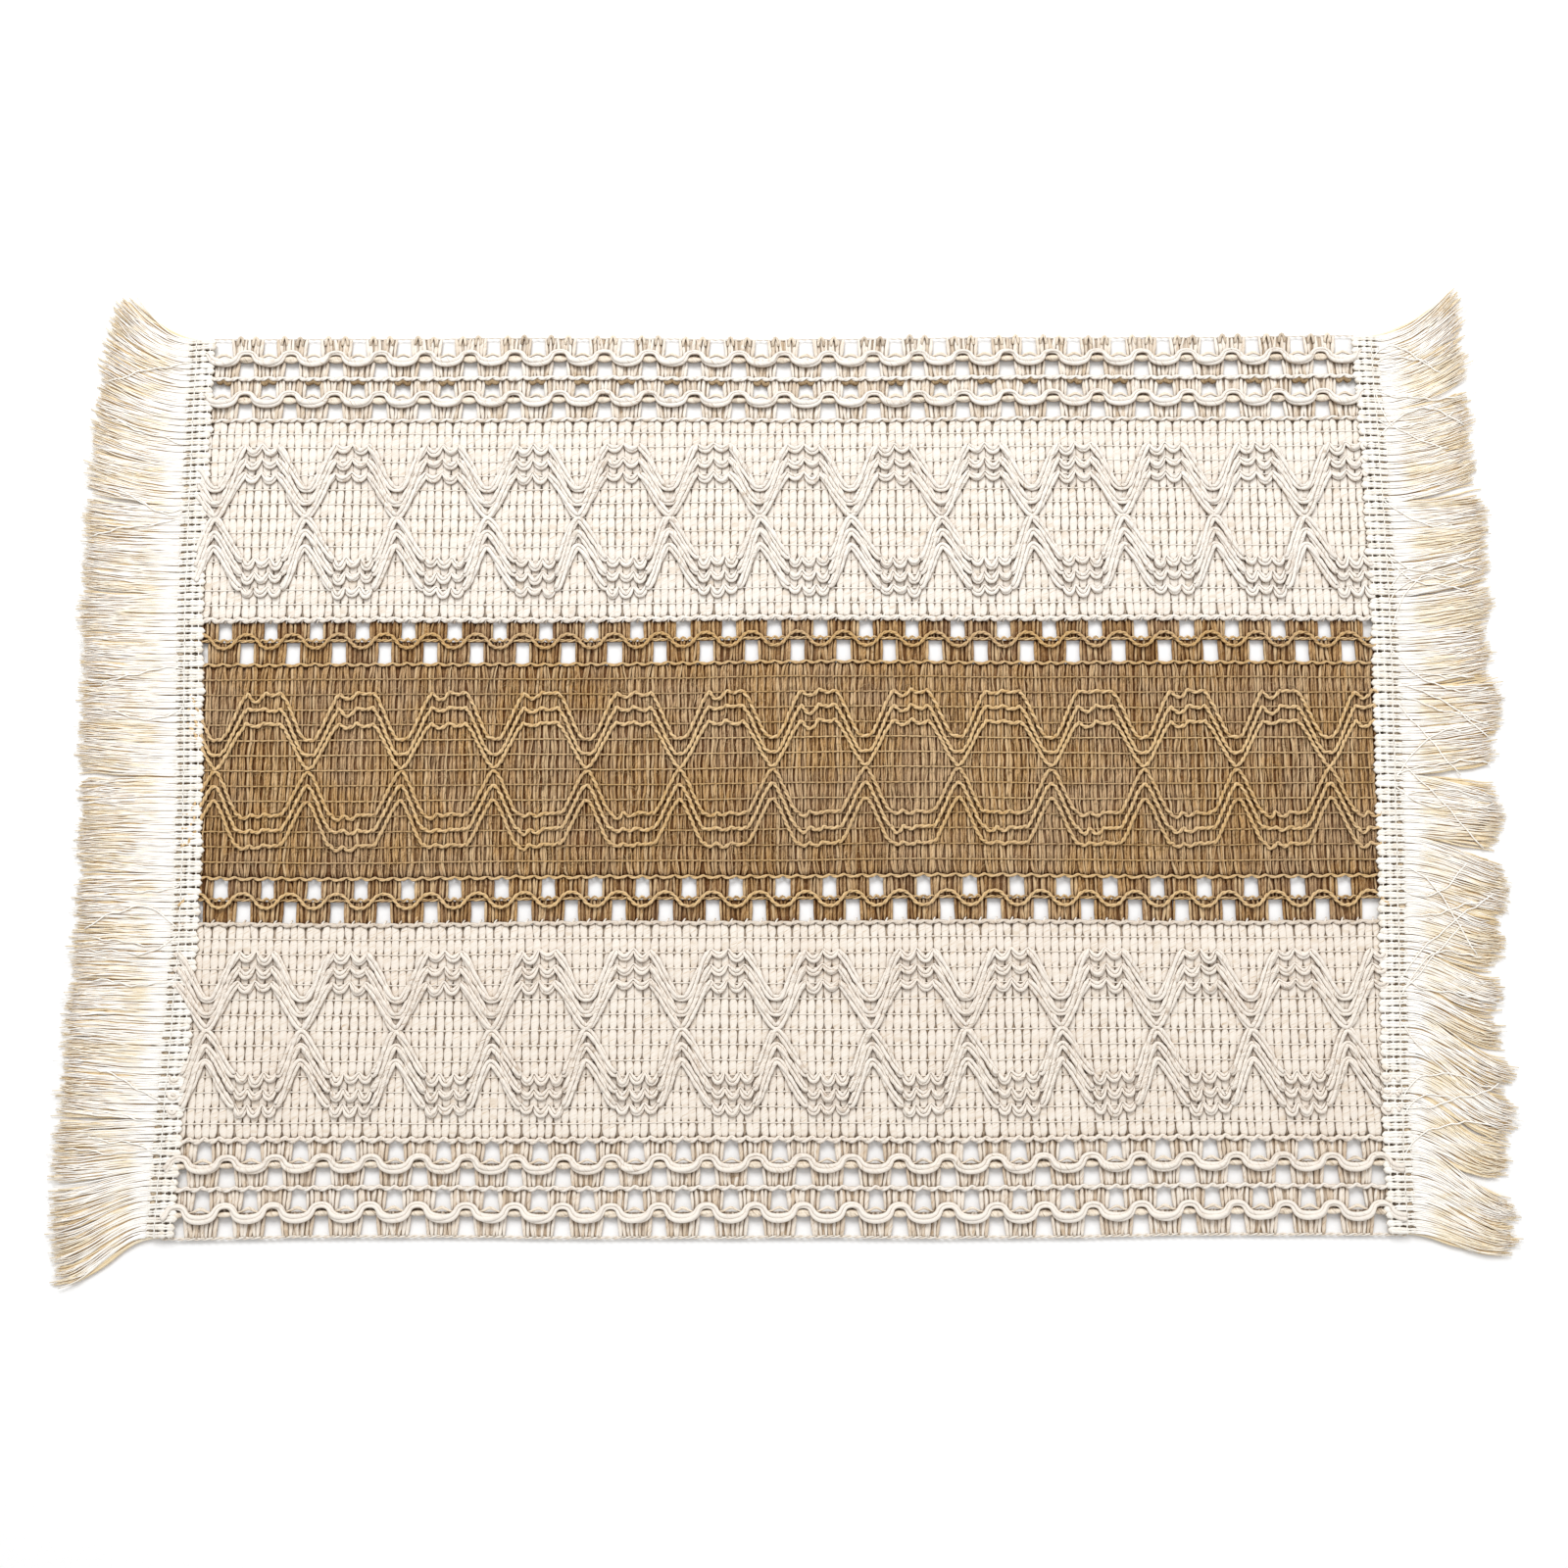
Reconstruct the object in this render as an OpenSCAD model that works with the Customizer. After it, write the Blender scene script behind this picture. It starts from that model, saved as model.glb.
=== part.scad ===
// Openwork table runner in crochet-machine fabric: two cotton strips with a jute strip between
// them, sewn edge to edge, and a cotton fringe trim over each short end.
// It lies flat on the XY plane: X along its length, Y across it, Z up, and its underside at z = 0.
// Each strip is a sheet of laid-in weft that thin warp chains hold together. Thicker cords lie on
// the chains: waves between the rows of eyelets, and a band of linked hexagons.

/* [Woven strips] */
// Length of the woven strips, with the ends that the fringe trims cover
woven_l = 385; // [265:5:535]
// Width of each cotton strip, with its edge chain
cotton_w = 99.2; // [98.4:0.2:103]
// Width of the jute strip
jute_w = 100.8; // [100.4:0.2:104]
// Thickness of the laid-in weft
weft_t = 1.8; // [1.2:0.1:2.4]
// Thickness of the warp chain threads
chain_t = 0.3; // [0.2:0.1:0.6]

/* [Eyelets] */
// Distance between neighbouring eyelets in a row
eyelet_pitch = 15; // [14:0.5:17]
// Length of an eyelet along its row
eyelet_l = 4.6; // [3:0.2:6]
// Width of an eyelet across its row
eyelet_w = 5; // [4:0.2:5.6]
// Width of one row of eyelets, from a chain to a cord
eyelet_row_w = 7.5; // [7:0.1:7.5]

/* [Cords] */
// Width of the cotton cords
cotton_cord_w = 1.8; // [1.2:0.1:1.8]
// Width of the jute cords
jute_cord_w = 1.3; // [0.8:0.1:1.8]
// Thickness of the cords
cord_t = 1.1; // [0.6:0.1:1.6]
// Depth of the small scallops in a cord's level stretches
scallop_depth = 0.8; // [0.4:0.1:1]
// Height of the waves between the rows of eyelets
wave_rise = 4.6; // [3:0.2:4.8]
// Where one crossing of the upper strip's hexagons lies along X
upper_crossing_x = -6.5; // [-15:0.5:15]
// Where one crossing of the jute strip's hexagons lies along X
jute_crossing_x = -5; // [-15:0.5:15]
// Where one crossing of the lower strip's hexagons lies along X
lower_crossing_x = -2; // [-15:0.5:15]

/* [Fringe] */
// Width of the header, from its inner edge to where the strands leave it
header_w = 7.3; // [6:0.1:12]
// How far the header lies over the woven end
header_lap = 3; // [1:0.5:4]
// Thickness of the header over the weft
header_rise = 1.5; // [1:0.1:2.5]
// Mean length of the strands beyond the header
strand_l = 31; // [15:1:60]
// Strand bundles on each side
strand_count = 61; // [41:2:71]
// Sideways reach of the strands at the corners
corner_flare = 14; // [0:1:20]

/* [Hidden] */

// Colours
cotton = [0.93, 0.90, 0.84];
cotton_thread = [0.85, 0.80, 0.71];
ivory = [0.96, 0.92, 0.82];
jute = [0.58, 0.44, 0.27];
jute_thread = [0.78, 0.64, 0.43];

// Heights, from the underside up: weft, chains, cords
chain_z = weft_t;
cord_z = weft_t + chain_t;
header_top = weft_t + header_rise;
fringe_t = 2.2;
edge_chain_t = 2.4;

// Widths of the threads, and their distance from the edges that they run along
chain_w = 1;
edge_chain_w = 1.2;
edge_inset = 0.1;

// Lines across the runner: the seams, the cotton's weft edge, and the pattern bands between the
// rows of eyelets. A cotton strip has four rows along its outer edge, the jute two on each side.
seam_y = jute_w / 2;
cotton_edge_y = seam_y + cotton_w - edge_chain_w;
cotton_band = [seam_y, cotton_edge_y - 4 * eyelet_row_w];
jute_band = [2 * eyelet_row_w - seam_y, seam_y - 2 * eyelet_row_w];

// Hexagons: two eyelets long, on a grid of 14 gaps between the band's chains. A cord's level
// stretch lies on one chain, and its points reach the chain three gaps away.
motif_l = 2 * eyelet_pitch;
chain_gaps = 14;
cord_drop = 3;
top_level_l = 12;
low_level_l = 13;
point_half_l = 1.2;
// The innermost top and low cords would meet where they point at each other: each stops short.
crossing_gap = 1.3;

// Header and fringe
header_x = woven_l / 2 - header_lap;
header_out_x = header_x + header_w;
header_scallop_l = 5;
header_scallop = 0.9;
header_steps = 6;
header_l = 2 * cotton_edge_y;
bundle_gap = 1;
bundle_steps = 4;
strand_scatter = 2;

// Stitches
stitch_pitch = 5;
stitch_w = 1;
stitch_t = 0.4;
seam_stitch_l = 3.2;
header_stitch_l = 1.6;

wave_steps = 6;
// The jute strip's lower waves are a quarter of an eyelet's distance out of step with its crossings.
lower_wave_shift = eyelet_pitch / 4;

// A ribbon of width w that follows the points of p.
function heading(p, i) =
    let (step = p[min(i + 1, len(p) - 1)] - p[max(i - 1, 0)]) step / norm(step);
function beside(p, i, d) =
    let (u = heading(p, i)) p[i] + d * [-u.y, u.x];
function ribbon(p, w) = concat(
    [for (i = [0:len(p) - 1]) beside(p, i, w / 2)],
    [for (i = [len(p) - 1:-1:0]) beside(p, i, -w / 2)]
);

// Whole numbers that take x0 + i * pitch across the visible woven length.
function first_i(x0, pitch) = ceil((-header_x - x0) / pitch);
function last_i(x0, pitch) = floor((header_x - x0) / pitch);

// One hexagon's stretch of a cord: a level stretch of small scallops, then the point at `reach`.
function hexagon_points(x, y, level_l, loops, reach) = concat(
    [for (j = [0:2 * loops])
        [x + level_l * (j / (2 * loops) - 0.5), y - (j % 2 == 1 ? scallop_depth : 0)]],
    [for (s = [-1:1])
        [x + motif_l / 2 + s * point_half_l, y + reach * (s == 0 ? 1 : 0.93)]]
);
function hexagon_line(crossing_x, y, level_l, loops, reach) =
    let (x0 = crossing_x + motif_l / 2)
    [for (i = [first_i(x0, motif_l) - 1:last_i(x0, motif_l) + 1])
        each hexagon_points(x0 + i * motif_l, y, level_l, loops, reach)];

// A wave with its low points at trough_x and every eyelet_pitch from there.
function wave_line(trough_x, y) =
    let (pitch = eyelet_pitch / wave_steps)
    [for (i = [first_i(trough_x, pitch) - 1:last_i(trough_x, pitch) + 1])
        [trough_x + i * pitch, y - wave_rise / 2 * cos(360 * i / wave_steps)]];

// Keeps a flat shape between the two headers.
module between_headers() {
    intersection() {
        children();
        square([2 * header_x, 4 * cotton_edge_y], center = true);
    }
}

module cord(line, w) {
    translate([0, 0, cord_z])
        linear_extrude(cord_t)
            between_headers() polygon(ribbon(line, w));
}

// Cord i of the three top cords, counted from the top: level stretches on chains 2, 3 and 4.
module top_cord(band, crossing_x, i, w) {
    gap = (band[1] - band[0]) / chain_gaps;
    short = (i == 3) ? crossing_gap : 0;
    cord(hexagon_line(crossing_x, band[1] - (i + 1) * gap, top_level_l, 2, short - cord_drop * gap), w);
}

// Cord i of the three low cords, counted from the top: level stretches on chains 10, 11 and 12.
module low_cord(band, crossing_x, i, w) {
    gap = (band[1] - band[0]) / chain_gaps;
    short = (i == 1) ? crossing_gap : 0;
    cord(hexagon_line(crossing_x, band[1] - (i + 9) * gap, low_level_l, 3, cord_drop * gap - short), w);
}

module eyelet_row(x0, y) {
    for (i = [first_i(x0, eyelet_pitch):last_i(x0, eyelet_pitch)])
        if (abs(x0 + i * eyelet_pitch) < header_x - eyelet_l)
            translate([x0 + i * eyelet_pitch, y]) square([eyelet_l, eyelet_w], center = true);
}

// Pairs of eyelet rows below the line high_y: the first row of a pair lies over the wave's low
// points, and the second is half an eyelet's distance out of step with it.
module eyelet_rows(high_y, pairs, trough_x) {
    for (i = [0:2 * pairs - 1])
        eyelet_row(trough_x + (i % 2) * eyelet_pitch / 2, high_y - (i + 0.5) * eyelet_row_w);
}

module weft(low_y, high_y) {
    linear_extrude(weft_t) difference() {
        translate([-woven_l / 2, low_y]) square([woven_l, high_y - low_y]);
        children();
    }
}

// Chain threads at each of the heights ys across the runner.
module chains(ys) {
    for (y = ys)
        translate([-header_x, y - chain_w / 2, chain_z]) cube([2 * header_x, chain_w, chain_t]);
}
function band_chains(band) =
    [for (i = [1:chain_gaps - 1]) band[0] + i * (band[1] - band[0]) / chain_gaps];
// A chain that runs along a strip's edge lies just inside it.
function inside_edge(y) = y - sign(y) * (chain_w / 2 + edge_inset);

module upper_cotton_weft() {
    color(cotton) weft(seam_y, cotton_edge_y)
        eyelet_rows(cotton_edge_y, 2, upper_crossing_x);
}
module upper_cotton_chains() {
    color(cotton_thread) chains(concat(band_chains(cotton_band), [
        seam_y + chain_w / 2 + edge_inset, cotton_band[1], cotton_edge_y - 2 * eyelet_row_w]));
}
module edge_chain(side) {
    y = side * (cotton_edge_y + edge_chain_w / 2);
    color(cotton_thread)
        translate([-header_x, y - edge_chain_w / 2, 0])
            cube([2 * header_x, edge_chain_w, edge_chain_t]);
}
module upper_cotton_edge_chain() {
    edge_chain(1);
}
module upper_outer_scallop_cord() {
    color(cotton) cord(wave_line(upper_crossing_x, cotton_edge_y - eyelet_row_w), cotton_cord_w);
}
module upper_inner_scallop_cord() {
    color(cotton) cord(wave_line(upper_crossing_x, cotton_edge_y - 3 * eyelet_row_w), cotton_cord_w);
}
module upper_top_cord(i) {
    color(cotton) top_cord(cotton_band, upper_crossing_x, i, cotton_cord_w);
}
module upper_low_cord(i) {
    color(cotton) low_cord(cotton_band, upper_crossing_x, i, cotton_cord_w);
}

module jute_weft() {
    color(jute) weft(-seam_y, seam_y) {
        eyelet_rows(seam_y, 1, jute_crossing_x);
        eyelet_rows(2 * eyelet_row_w - seam_y, 1, jute_crossing_x + lower_wave_shift);
    }
}
module jute_chains() {
    color(jute_thread) chains(concat(band_chains(jute_band), [
        inside_edge(-seam_y), jute_band[0], jute_band[1], inside_edge(seam_y)]));
}
module jute_upper_wave_cord() {
    color(jute_thread) cord(wave_line(jute_crossing_x, seam_y - eyelet_row_w), jute_cord_w);
}
module jute_lower_wave_cord() {
    color(jute_thread)
        cord(wave_line(jute_crossing_x + lower_wave_shift, eyelet_row_w - seam_y), jute_cord_w);
}
module jute_top_cord(i) {
    color(jute_thread) top_cord(jute_band, jute_crossing_x, i, jute_cord_w);
}
module jute_low_cord(i) {
    color(jute_thread) low_cord(jute_band, jute_crossing_x, i, jute_cord_w);
}

lower_band = [-cotton_band[1], -cotton_band[0]];
module lower_cotton_weft() {
    color(cotton) weft(-cotton_edge_y, -seam_y)
        eyelet_rows(lower_band[0], 2, lower_crossing_x);
}
module lower_cotton_chains() {
    color(cotton_thread) chains(concat(band_chains(lower_band), [
        -seam_y - chain_w / 2 - edge_inset, lower_band[0], 2 * eyelet_row_w - cotton_edge_y]));
}
module lower_cotton_edge_chain() {
    edge_chain(-1);
}
module lower_outer_scallop_cord() {
    color(cotton) cord(wave_line(lower_crossing_x, eyelet_row_w - cotton_edge_y), cotton_cord_w);
}
module lower_inner_scallop_cord() {
    color(cotton) cord(wave_line(lower_crossing_x, 3 * eyelet_row_w - cotton_edge_y), cotton_cord_w);
}
module lower_top_cord(i) {
    color(cotton) top_cord(lower_band, lower_crossing_x, i, cotton_cord_w);
}
module lower_low_cord(i) {
    color(cotton) low_cord(lower_band, lower_crossing_x, i, cotton_cord_w);
}

// Overcast stitches lie across a seam, on the edge chains of both strips.
module join_seam(y) {
    n = floor((header_x - stitch_w) / stitch_pitch);
    color(cotton_thread)
        for (i = [-n:n])
            translate([i * stitch_pitch - stitch_w / 2, y - seam_stitch_l / 2, cord_z])
                cube([stitch_w, seam_stitch_l, stitch_t]);
}

// The header lies over the woven end, and its inner edge is scalloped.
module header() {
    n = round(header_l / header_scallop_l * header_steps);
    inner = [for (i = [0:n])
        let (y = header_l * (i / n - 0.5))
        [header_x + header_scallop / 2 * (1 - cos(360 * y / header_scallop_l)), y]];
    color(ivory) difference() {
        linear_extrude(header_top)
            polygon(concat(inner, [[header_out_x, header_l / 2], [header_out_x, -header_l / 2]]));
        translate([0, -header_l, -1]) cube([woven_l / 2, 2 * header_l, weft_t + 1]);
    }
}

// Two lines of short stitches on top of the header.
module header_stitching() {
    n = floor((header_l / 2 - stitch_w) / stitch_pitch);
    color(cotton_thread)
        for (line = [1, 2], i = [-n:n])
            translate([header_x + line * header_w / 3 - header_stitch_l / 2,
                       i * stitch_pitch - stitch_w / 2, header_top])
                cube([header_stitch_l, stitch_w, stitch_t]);
}

// Each bundle leaves the header square to it and curves away from the middle, more so towards
// the corners.
module fringe_strands() {
    pitch = header_l / strand_count;
    half = (pitch - bundle_gap) / 2;
    color(ivory) for (i = [0:strand_count - 1]) {
        y = (i + 0.5) * pitch - header_l / 2;
        flare = corner_flare * pow(2 * y / header_l, 3);
        l = strand_l + strand_scatter * sin(i * 137);
        mid = [for (s = [0:bundle_steps])
            [header_out_x + l * s / bundle_steps, y + flare * pow(s / bundle_steps, 2)]];
        linear_extrude(fringe_t) polygon(concat(
            [for (p = mid) p + [0, half]],
            [for (k = [bundle_steps:-1:0]) mid[k] - [0, half]]));
    }
}

module on_left() {
    mirror([1, 0, 0]) children();
}

upper_cotton_weft();
upper_cotton_chains();
upper_cotton_edge_chain();
upper_outer_scallop_cord();
upper_inner_scallop_cord();
upper_top_cord(1);  // upper_top_cord_1
upper_top_cord(2);  // upper_top_cord_2
upper_top_cord(3);  // upper_top_cord_3
upper_low_cord(1);  // upper_low_cord_1
upper_low_cord(2);  // upper_low_cord_2
upper_low_cord(3);  // upper_low_cord_3
jute_weft();
jute_chains();
jute_upper_wave_cord();
jute_lower_wave_cord();
jute_top_cord(1);  // jute_top_cord_1
jute_top_cord(2);  // jute_top_cord_2
jute_top_cord(3);  // jute_top_cord_3
jute_low_cord(1);  // jute_low_cord_1
jute_low_cord(2);  // jute_low_cord_2
jute_low_cord(3);  // jute_low_cord_3
lower_cotton_weft();
lower_cotton_chains();
lower_cotton_edge_chain();
lower_outer_scallop_cord();
lower_inner_scallop_cord();
lower_top_cord(1);  // lower_top_cord_1
lower_top_cord(2);  // lower_top_cord_2
lower_top_cord(3);  // lower_top_cord_3
lower_low_cord(1);  // lower_low_cord_1
lower_low_cord(2);  // lower_low_cord_2
lower_low_cord(3);  // lower_low_cord_3
join_seam(seam_y);  // upper_join_seam
join_seam(-seam_y);  // lower_join_seam
on_left() header();  // left_header
on_left() header_stitching();  // left_header_stitching
on_left() fringe_strands();  // left_fringe_strands
header();  // right_header
header_stitching();  // right_header_stitching
fringe_strands();  // right_fringe_strands
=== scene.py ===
"""Looks for the openwork table runner: every rib, chain thread, cord, loop and fringe strand as yarn.

Paths are worked out flat, in millimetres, in the frame's own axes, then laid with the small
skews of cloth on a table, and swept into tubes. Each yarn carries its length and its angle round
in the UV map "yarn", and a tone, which its fibre material reads: random for most yarns, and held
low as painted shade on yarns that lie under or behind others.
"""

from collections import namedtuple
from math import ceil, floor, pi, tau

import bpy
import numpy as np
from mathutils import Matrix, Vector
from numpy import cos, exp, sin


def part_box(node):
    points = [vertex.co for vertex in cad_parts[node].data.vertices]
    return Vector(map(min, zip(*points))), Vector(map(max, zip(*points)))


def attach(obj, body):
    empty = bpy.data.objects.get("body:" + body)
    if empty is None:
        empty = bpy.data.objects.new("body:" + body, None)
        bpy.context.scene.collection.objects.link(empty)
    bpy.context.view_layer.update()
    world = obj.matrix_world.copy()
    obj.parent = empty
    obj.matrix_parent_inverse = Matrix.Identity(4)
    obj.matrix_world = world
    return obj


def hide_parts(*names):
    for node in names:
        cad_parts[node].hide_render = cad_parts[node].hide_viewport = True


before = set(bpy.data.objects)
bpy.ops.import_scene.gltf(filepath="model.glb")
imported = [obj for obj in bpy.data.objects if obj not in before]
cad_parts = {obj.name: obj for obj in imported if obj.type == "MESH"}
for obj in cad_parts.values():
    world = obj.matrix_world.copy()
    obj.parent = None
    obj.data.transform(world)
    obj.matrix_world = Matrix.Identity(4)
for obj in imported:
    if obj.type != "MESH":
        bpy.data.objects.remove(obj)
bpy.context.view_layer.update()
MM = 0.001
SEED = 20


# ---- sizes, from the frame


def corners(node):
    """The lowest and the highest corner of a CAD node, in millimetres."""
    return [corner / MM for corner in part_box(node)]


HALF_L, HEADER_OUT = (corner.x for corner in corners("right_header"))
TIP_X = corners("right_fringe_strands")[1].x
SEAM_Y = corners("jute_weft")[1].y
COTTON_Y = corners("upper_cotton_weft")[1].y
WEFT_T = corners("jute_weft")[1].z

# The machine's gauge: from rib to rib, from eyelet to eyelet, from hexagon to hexagon, from row to row
RIB = 2.5
EYELET = 6 * RIB
MOTIF = 12 * RIB
ROW = 3 * RIB
# Rows of eyelets along a cotton strip's outer edge and along each edge of the jute
COTTON_ROWS = 4
JUTE_ROWS = 2
# Gaps between the chains across a pattern band
GAPS = 14

# Where one crossing of each strip's hexagons lies along X
CROSSING = {"upper": -8.0, "jute": -3.7, "lower": -2.4}
# Where an eyelet lies along X, in the uppermost or lowermost row of each stretch of openwork
EYELETS = {"upper": -7.65, "jute top": -3.05, "jute bottom": -0.4, "lower": -1.45}
# How far the weave runs under the headers
REACH = HALF_L + 4.0


# ---- how the cloth lies

# How far the upper edge is drawn in, over the openwork's width
DRAWN_IN = 1.4
# How far the weave rises at its middle, how much more at its right end, and how far the jute slumps
RISE = 0.3
SKEW = 0.55
SLUMP = 0.5
# How far the trims at the two ends stray from straight, by their place across the runner
STRAY_Y = range(-150, 151, 50)
LEFT_STRAY = [0.2, 1.6, 3.0, 1.8, -0.4, -1.2, -1.4]
RIGHT_STRAY = [-2.2, -1.6, 0.2, 1.6, 2.6, 2.2, 1.2]


def smooth_between(x, xs, ys):
    """A smooth curve through points that are the same distance apart."""
    t = (np.clip(x, xs[0], xs[-1]) - xs[0]) / (xs[1] - xs[0])
    i = np.minimum(t.astype(int), len(xs) - 2)
    f = t - i
    ys = np.asarray(ys, float)
    a, b = ys[i], ys[i + 1]
    before = ys[np.maximum(i - 1, 0)]
    after = ys[np.minimum(i + 2, len(xs) - 1)]
    m0, m1 = (b - before) / 2, (after - a) / 2
    return (
        (2 * f**3 - 3 * f**2 + 1) * a
        + (f**3 - 2 * f**2 + f) * m0
        + (3 * f**2 - 2 * f**3) * b
        + (f**3 - f**2) * m1
    )


def lay(flat, is_trim):
    """Moves flat points to where they lie on the table."""
    x, y, z = np.moveaxis(flat, -1, 0)
    right = np.clip(x / (2 * HALF_L) + 0.5, 0, 1)
    left_stray = smooth_between(y, STRAY_Y, LEFT_STRAY)
    stray = (1 - right) * left_stray + right * smooth_between(y, STRAY_Y, RIGHT_STRAY)
    wave = 0.35 * sin(x / 47 + 1.1) * cos(y / 61) + 0.2 * sin(x / 21 + y / 30)
    drawn = DRAWN_IN * np.clip((y - COTTON_Y + COTTON_ROWS * ROW) / (COTTON_ROWS * ROW), 0, 1) ** 2
    rise = RISE + SKEW * x / HALF_L - SLUMP * exp(-(((y - 25) / 40) ** 2))
    lift = 0.12 * (1 + sin(x / 33 + y / 27))
    return points(x + is_trim * stray, y + wave + rise - drawn, z + lift)


# ---- yarn as mesh


def points(x, y, z):
    """Points from their coordinates, each an array or one number for all."""
    return np.stack(np.broadcast_arrays(x, y, z), -1)


def heading(paths):
    """Unit tangents, the level sideways directions and the ups of paths [n, m, 3]."""
    t = np.gradient(paths, axis=1)
    t /= np.linalg.norm(t, axis=-1, keepdims=True) + 1e-12
    side = points(t[..., 1], -t[..., 0], 0.0)
    side /= np.linalg.norm(side, axis=-1, keepdims=True) + 1e-9
    return t, side, np.cross(side, t)


def along(paths):
    """Length from each path's start, [n, m]."""
    step = np.linalg.norm(np.diff(paths, axis=1), axis=-1)
    return np.concatenate([np.zeros((len(paths), 1)), np.cumsum(step, 1)], 1)


# A rib's section, in shares of its half sizes: nearly level on top, steep at its sides
RIB_SECTION = np.array([
    (1.0, 0.0), (0.95, 0.55), (0.66, 0.93), (-0.66, 0.93),
    (-0.95, 0.55), (-1.0, 0.0), (-0.6, -0.9), (0.6, -0.9),
])


def round_section(sides):
    """A round yarn's section."""
    angle = (np.arange(sides) + 0.5) * tau / sides
    return np.stack([cos(angle), sin(angle)], -1)


COARSE, MEDIUM, FINE = round_section(5), round_section(6), round_section(8)


class Yarns:
    """Tubes that make up one piece."""

    def __init__(self, is_trim=False):
        self.is_trim = is_trim
        self.verts, self.quads, self.caps, self.uvs, self.tones = [], [], [], [], []
        self.count = 0

    def add(self, paths, half_w, half_h, section, tone):
        """Sweeps a section along each of paths [n, m, 3]. The half sizes may vary along a path."""
        paths = lay(paths, self.is_trim)
        n, m, _ = paths.shape
        half_w = np.broadcast_to(half_w, (n, m))[..., None, None]
        half_h = np.broadcast_to(half_h, (n, m))[..., None, None]
        _, side, up = heading(paths)
        sides = len(section)
        ring = (
            paths[:, :, None]
            + side[:, :, None] * half_w * section[:, :1]
            + up[:, :, None] * half_h * section[:, 1:]
        )
        index = self.count + np.arange(n * m * sides).reshape(n, m, sides)
        a, b = index[:, :-1], index[:, 1:]
        quads = np.stack([a, b, np.roll(b, -1, 2), np.roll(a, -1, 2)], -1)
        length = along(paths)
        u = np.broadcast_to(length[:, :, None], (n, m, sides))
        u = np.stack([u[:, :-1], u[:, 1:], u[:, 1:], u[:, :-1]], -1)
        v = np.broadcast_to(np.arange(sides) / sides, (n, m - 1, sides))
        v = np.stack([v, v, v + 1 / sides, v + 1 / sides], -1)
        self.verts.append(ring.reshape(-1, 3))
        self.quads.append(quads.reshape(-1, 4))
        self.uvs.append(np.stack([u, v], -1).reshape(-1, 2))
        self.caps += [index[:, 0], index[:, -1, ::-1]]
        self.tones.append(np.repeat(tone, m * sides))
        self.count += n * m * sides
        return self

    def mesh(self, name):
        """One Blender mesh with the UV map "yarn" and the point attribute "tone"."""
        me = bpy.data.meshes.new(name)
        verts = np.concatenate(self.verts) * MM
        quads = np.concatenate(self.quads)
        caps = [cap for group in self.caps for cap in group]
        sizes = np.array([4] * len(quads) + [len(c) for c in caps], np.int32)
        loops = np.concatenate([quads.ravel(), *caps]).astype(np.int32)
        me.vertices.add(len(verts))
        me.vertices.foreach_set("co", verts.astype(np.float32).ravel())
        me.loops.add(len(loops))
        me.loops.foreach_set("vertex_index", loops)
        me.polygons.add(len(sizes))
        me.polygons.foreach_set("loop_start", (np.cumsum(sizes) - sizes).astype(np.int32))
        uv = np.zeros((len(loops), 2), np.float32)
        uv[: quads.size] = np.concatenate(self.uvs)
        me.uv_layers.new(name="yarn").data.foreach_set("uv", uv.ravel())
        tone = me.attributes.new("tone", "FLOAT", "POINT")
        tone.data.foreach_set("value", np.concatenate(self.tones).astype(np.float32))
        me.update(calc_edges=True)
        me.polygons.foreach_set("use_smooth", np.ones(len(sizes), bool))
        me.validate()
        return me


def piece(name, yarns, material, slot, *nodes):
    """A Blender object of these yarns, which rides on the root and stands for CAD nodes."""
    ob = bpy.data.objects.new(name, yarns.mesh(name))
    bpy.context.scene.collection.objects.link(ob)
    ob.data.materials.append(material)
    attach(ob, "root")
    if nodes:
        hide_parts(*nodes)
    return ob


def draws(name):
    """A random generator that gives the same numbers on each run."""
    return np.random.default_rng([SEED, sum(ord(c) * (i + 1) for i, c in enumerate(name))])


def wander(rng, s, wavelength, size, count=None):
    """Smooth random curves over the places s [n, m], one to a row, or count of them over one row."""
    n = count or len(s)
    out = 0
    for share, stretch in ((0.6, 1.0), (0.4, 0.43)):
        phase = rng.uniform(0, tau, (n, 1))
        pace = rng.uniform(0.8, 1.25, (n, 1))
        out = out + share * sin(tau * s / (wavelength * stretch) * pace + phase)
    return size * out


def resample(path, step):
    """Points the same distance apart along one path [m, 3]."""
    s = along(path[None])[0]
    count = max(int(round(s[-1] / step)), 2)
    at = np.linspace(0, s[-1], count + 1)
    return np.stack([np.interp(at, s, path[:, i]) for i in range(3)], -1)


def soften(values, step, width):
    """values with their corners rounded over about width, where they are step apart."""
    reach = int(round(2.5 * width / step))
    kernel = exp(-0.5 * (np.arange(-reach, reach + 1) * step / width) ** 2)
    padded = np.pad(values, reach, mode="edge")
    return np.convolve(padded, kernel / kernel.sum(), mode="valid")


def bundle(path, half_w, half_h, count, lay_l, rng):
    """Paths of the yarns of one cord, which wind round it once in lay_l. [count, m, 3]"""
    _, side, up = heading(path[None])
    s = along(path[None])
    roll = tau * s / lay_l + wander(rng, s, 40, 0.4) + rng.uniform(0, 6)
    angle = roll + tau * np.arange(count)[:, None] / count
    sideways = (half_w * cos(angle))[..., None] * side
    return path + sideways + (half_h * sin(angle))[..., None] * up


# ---- materials


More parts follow.
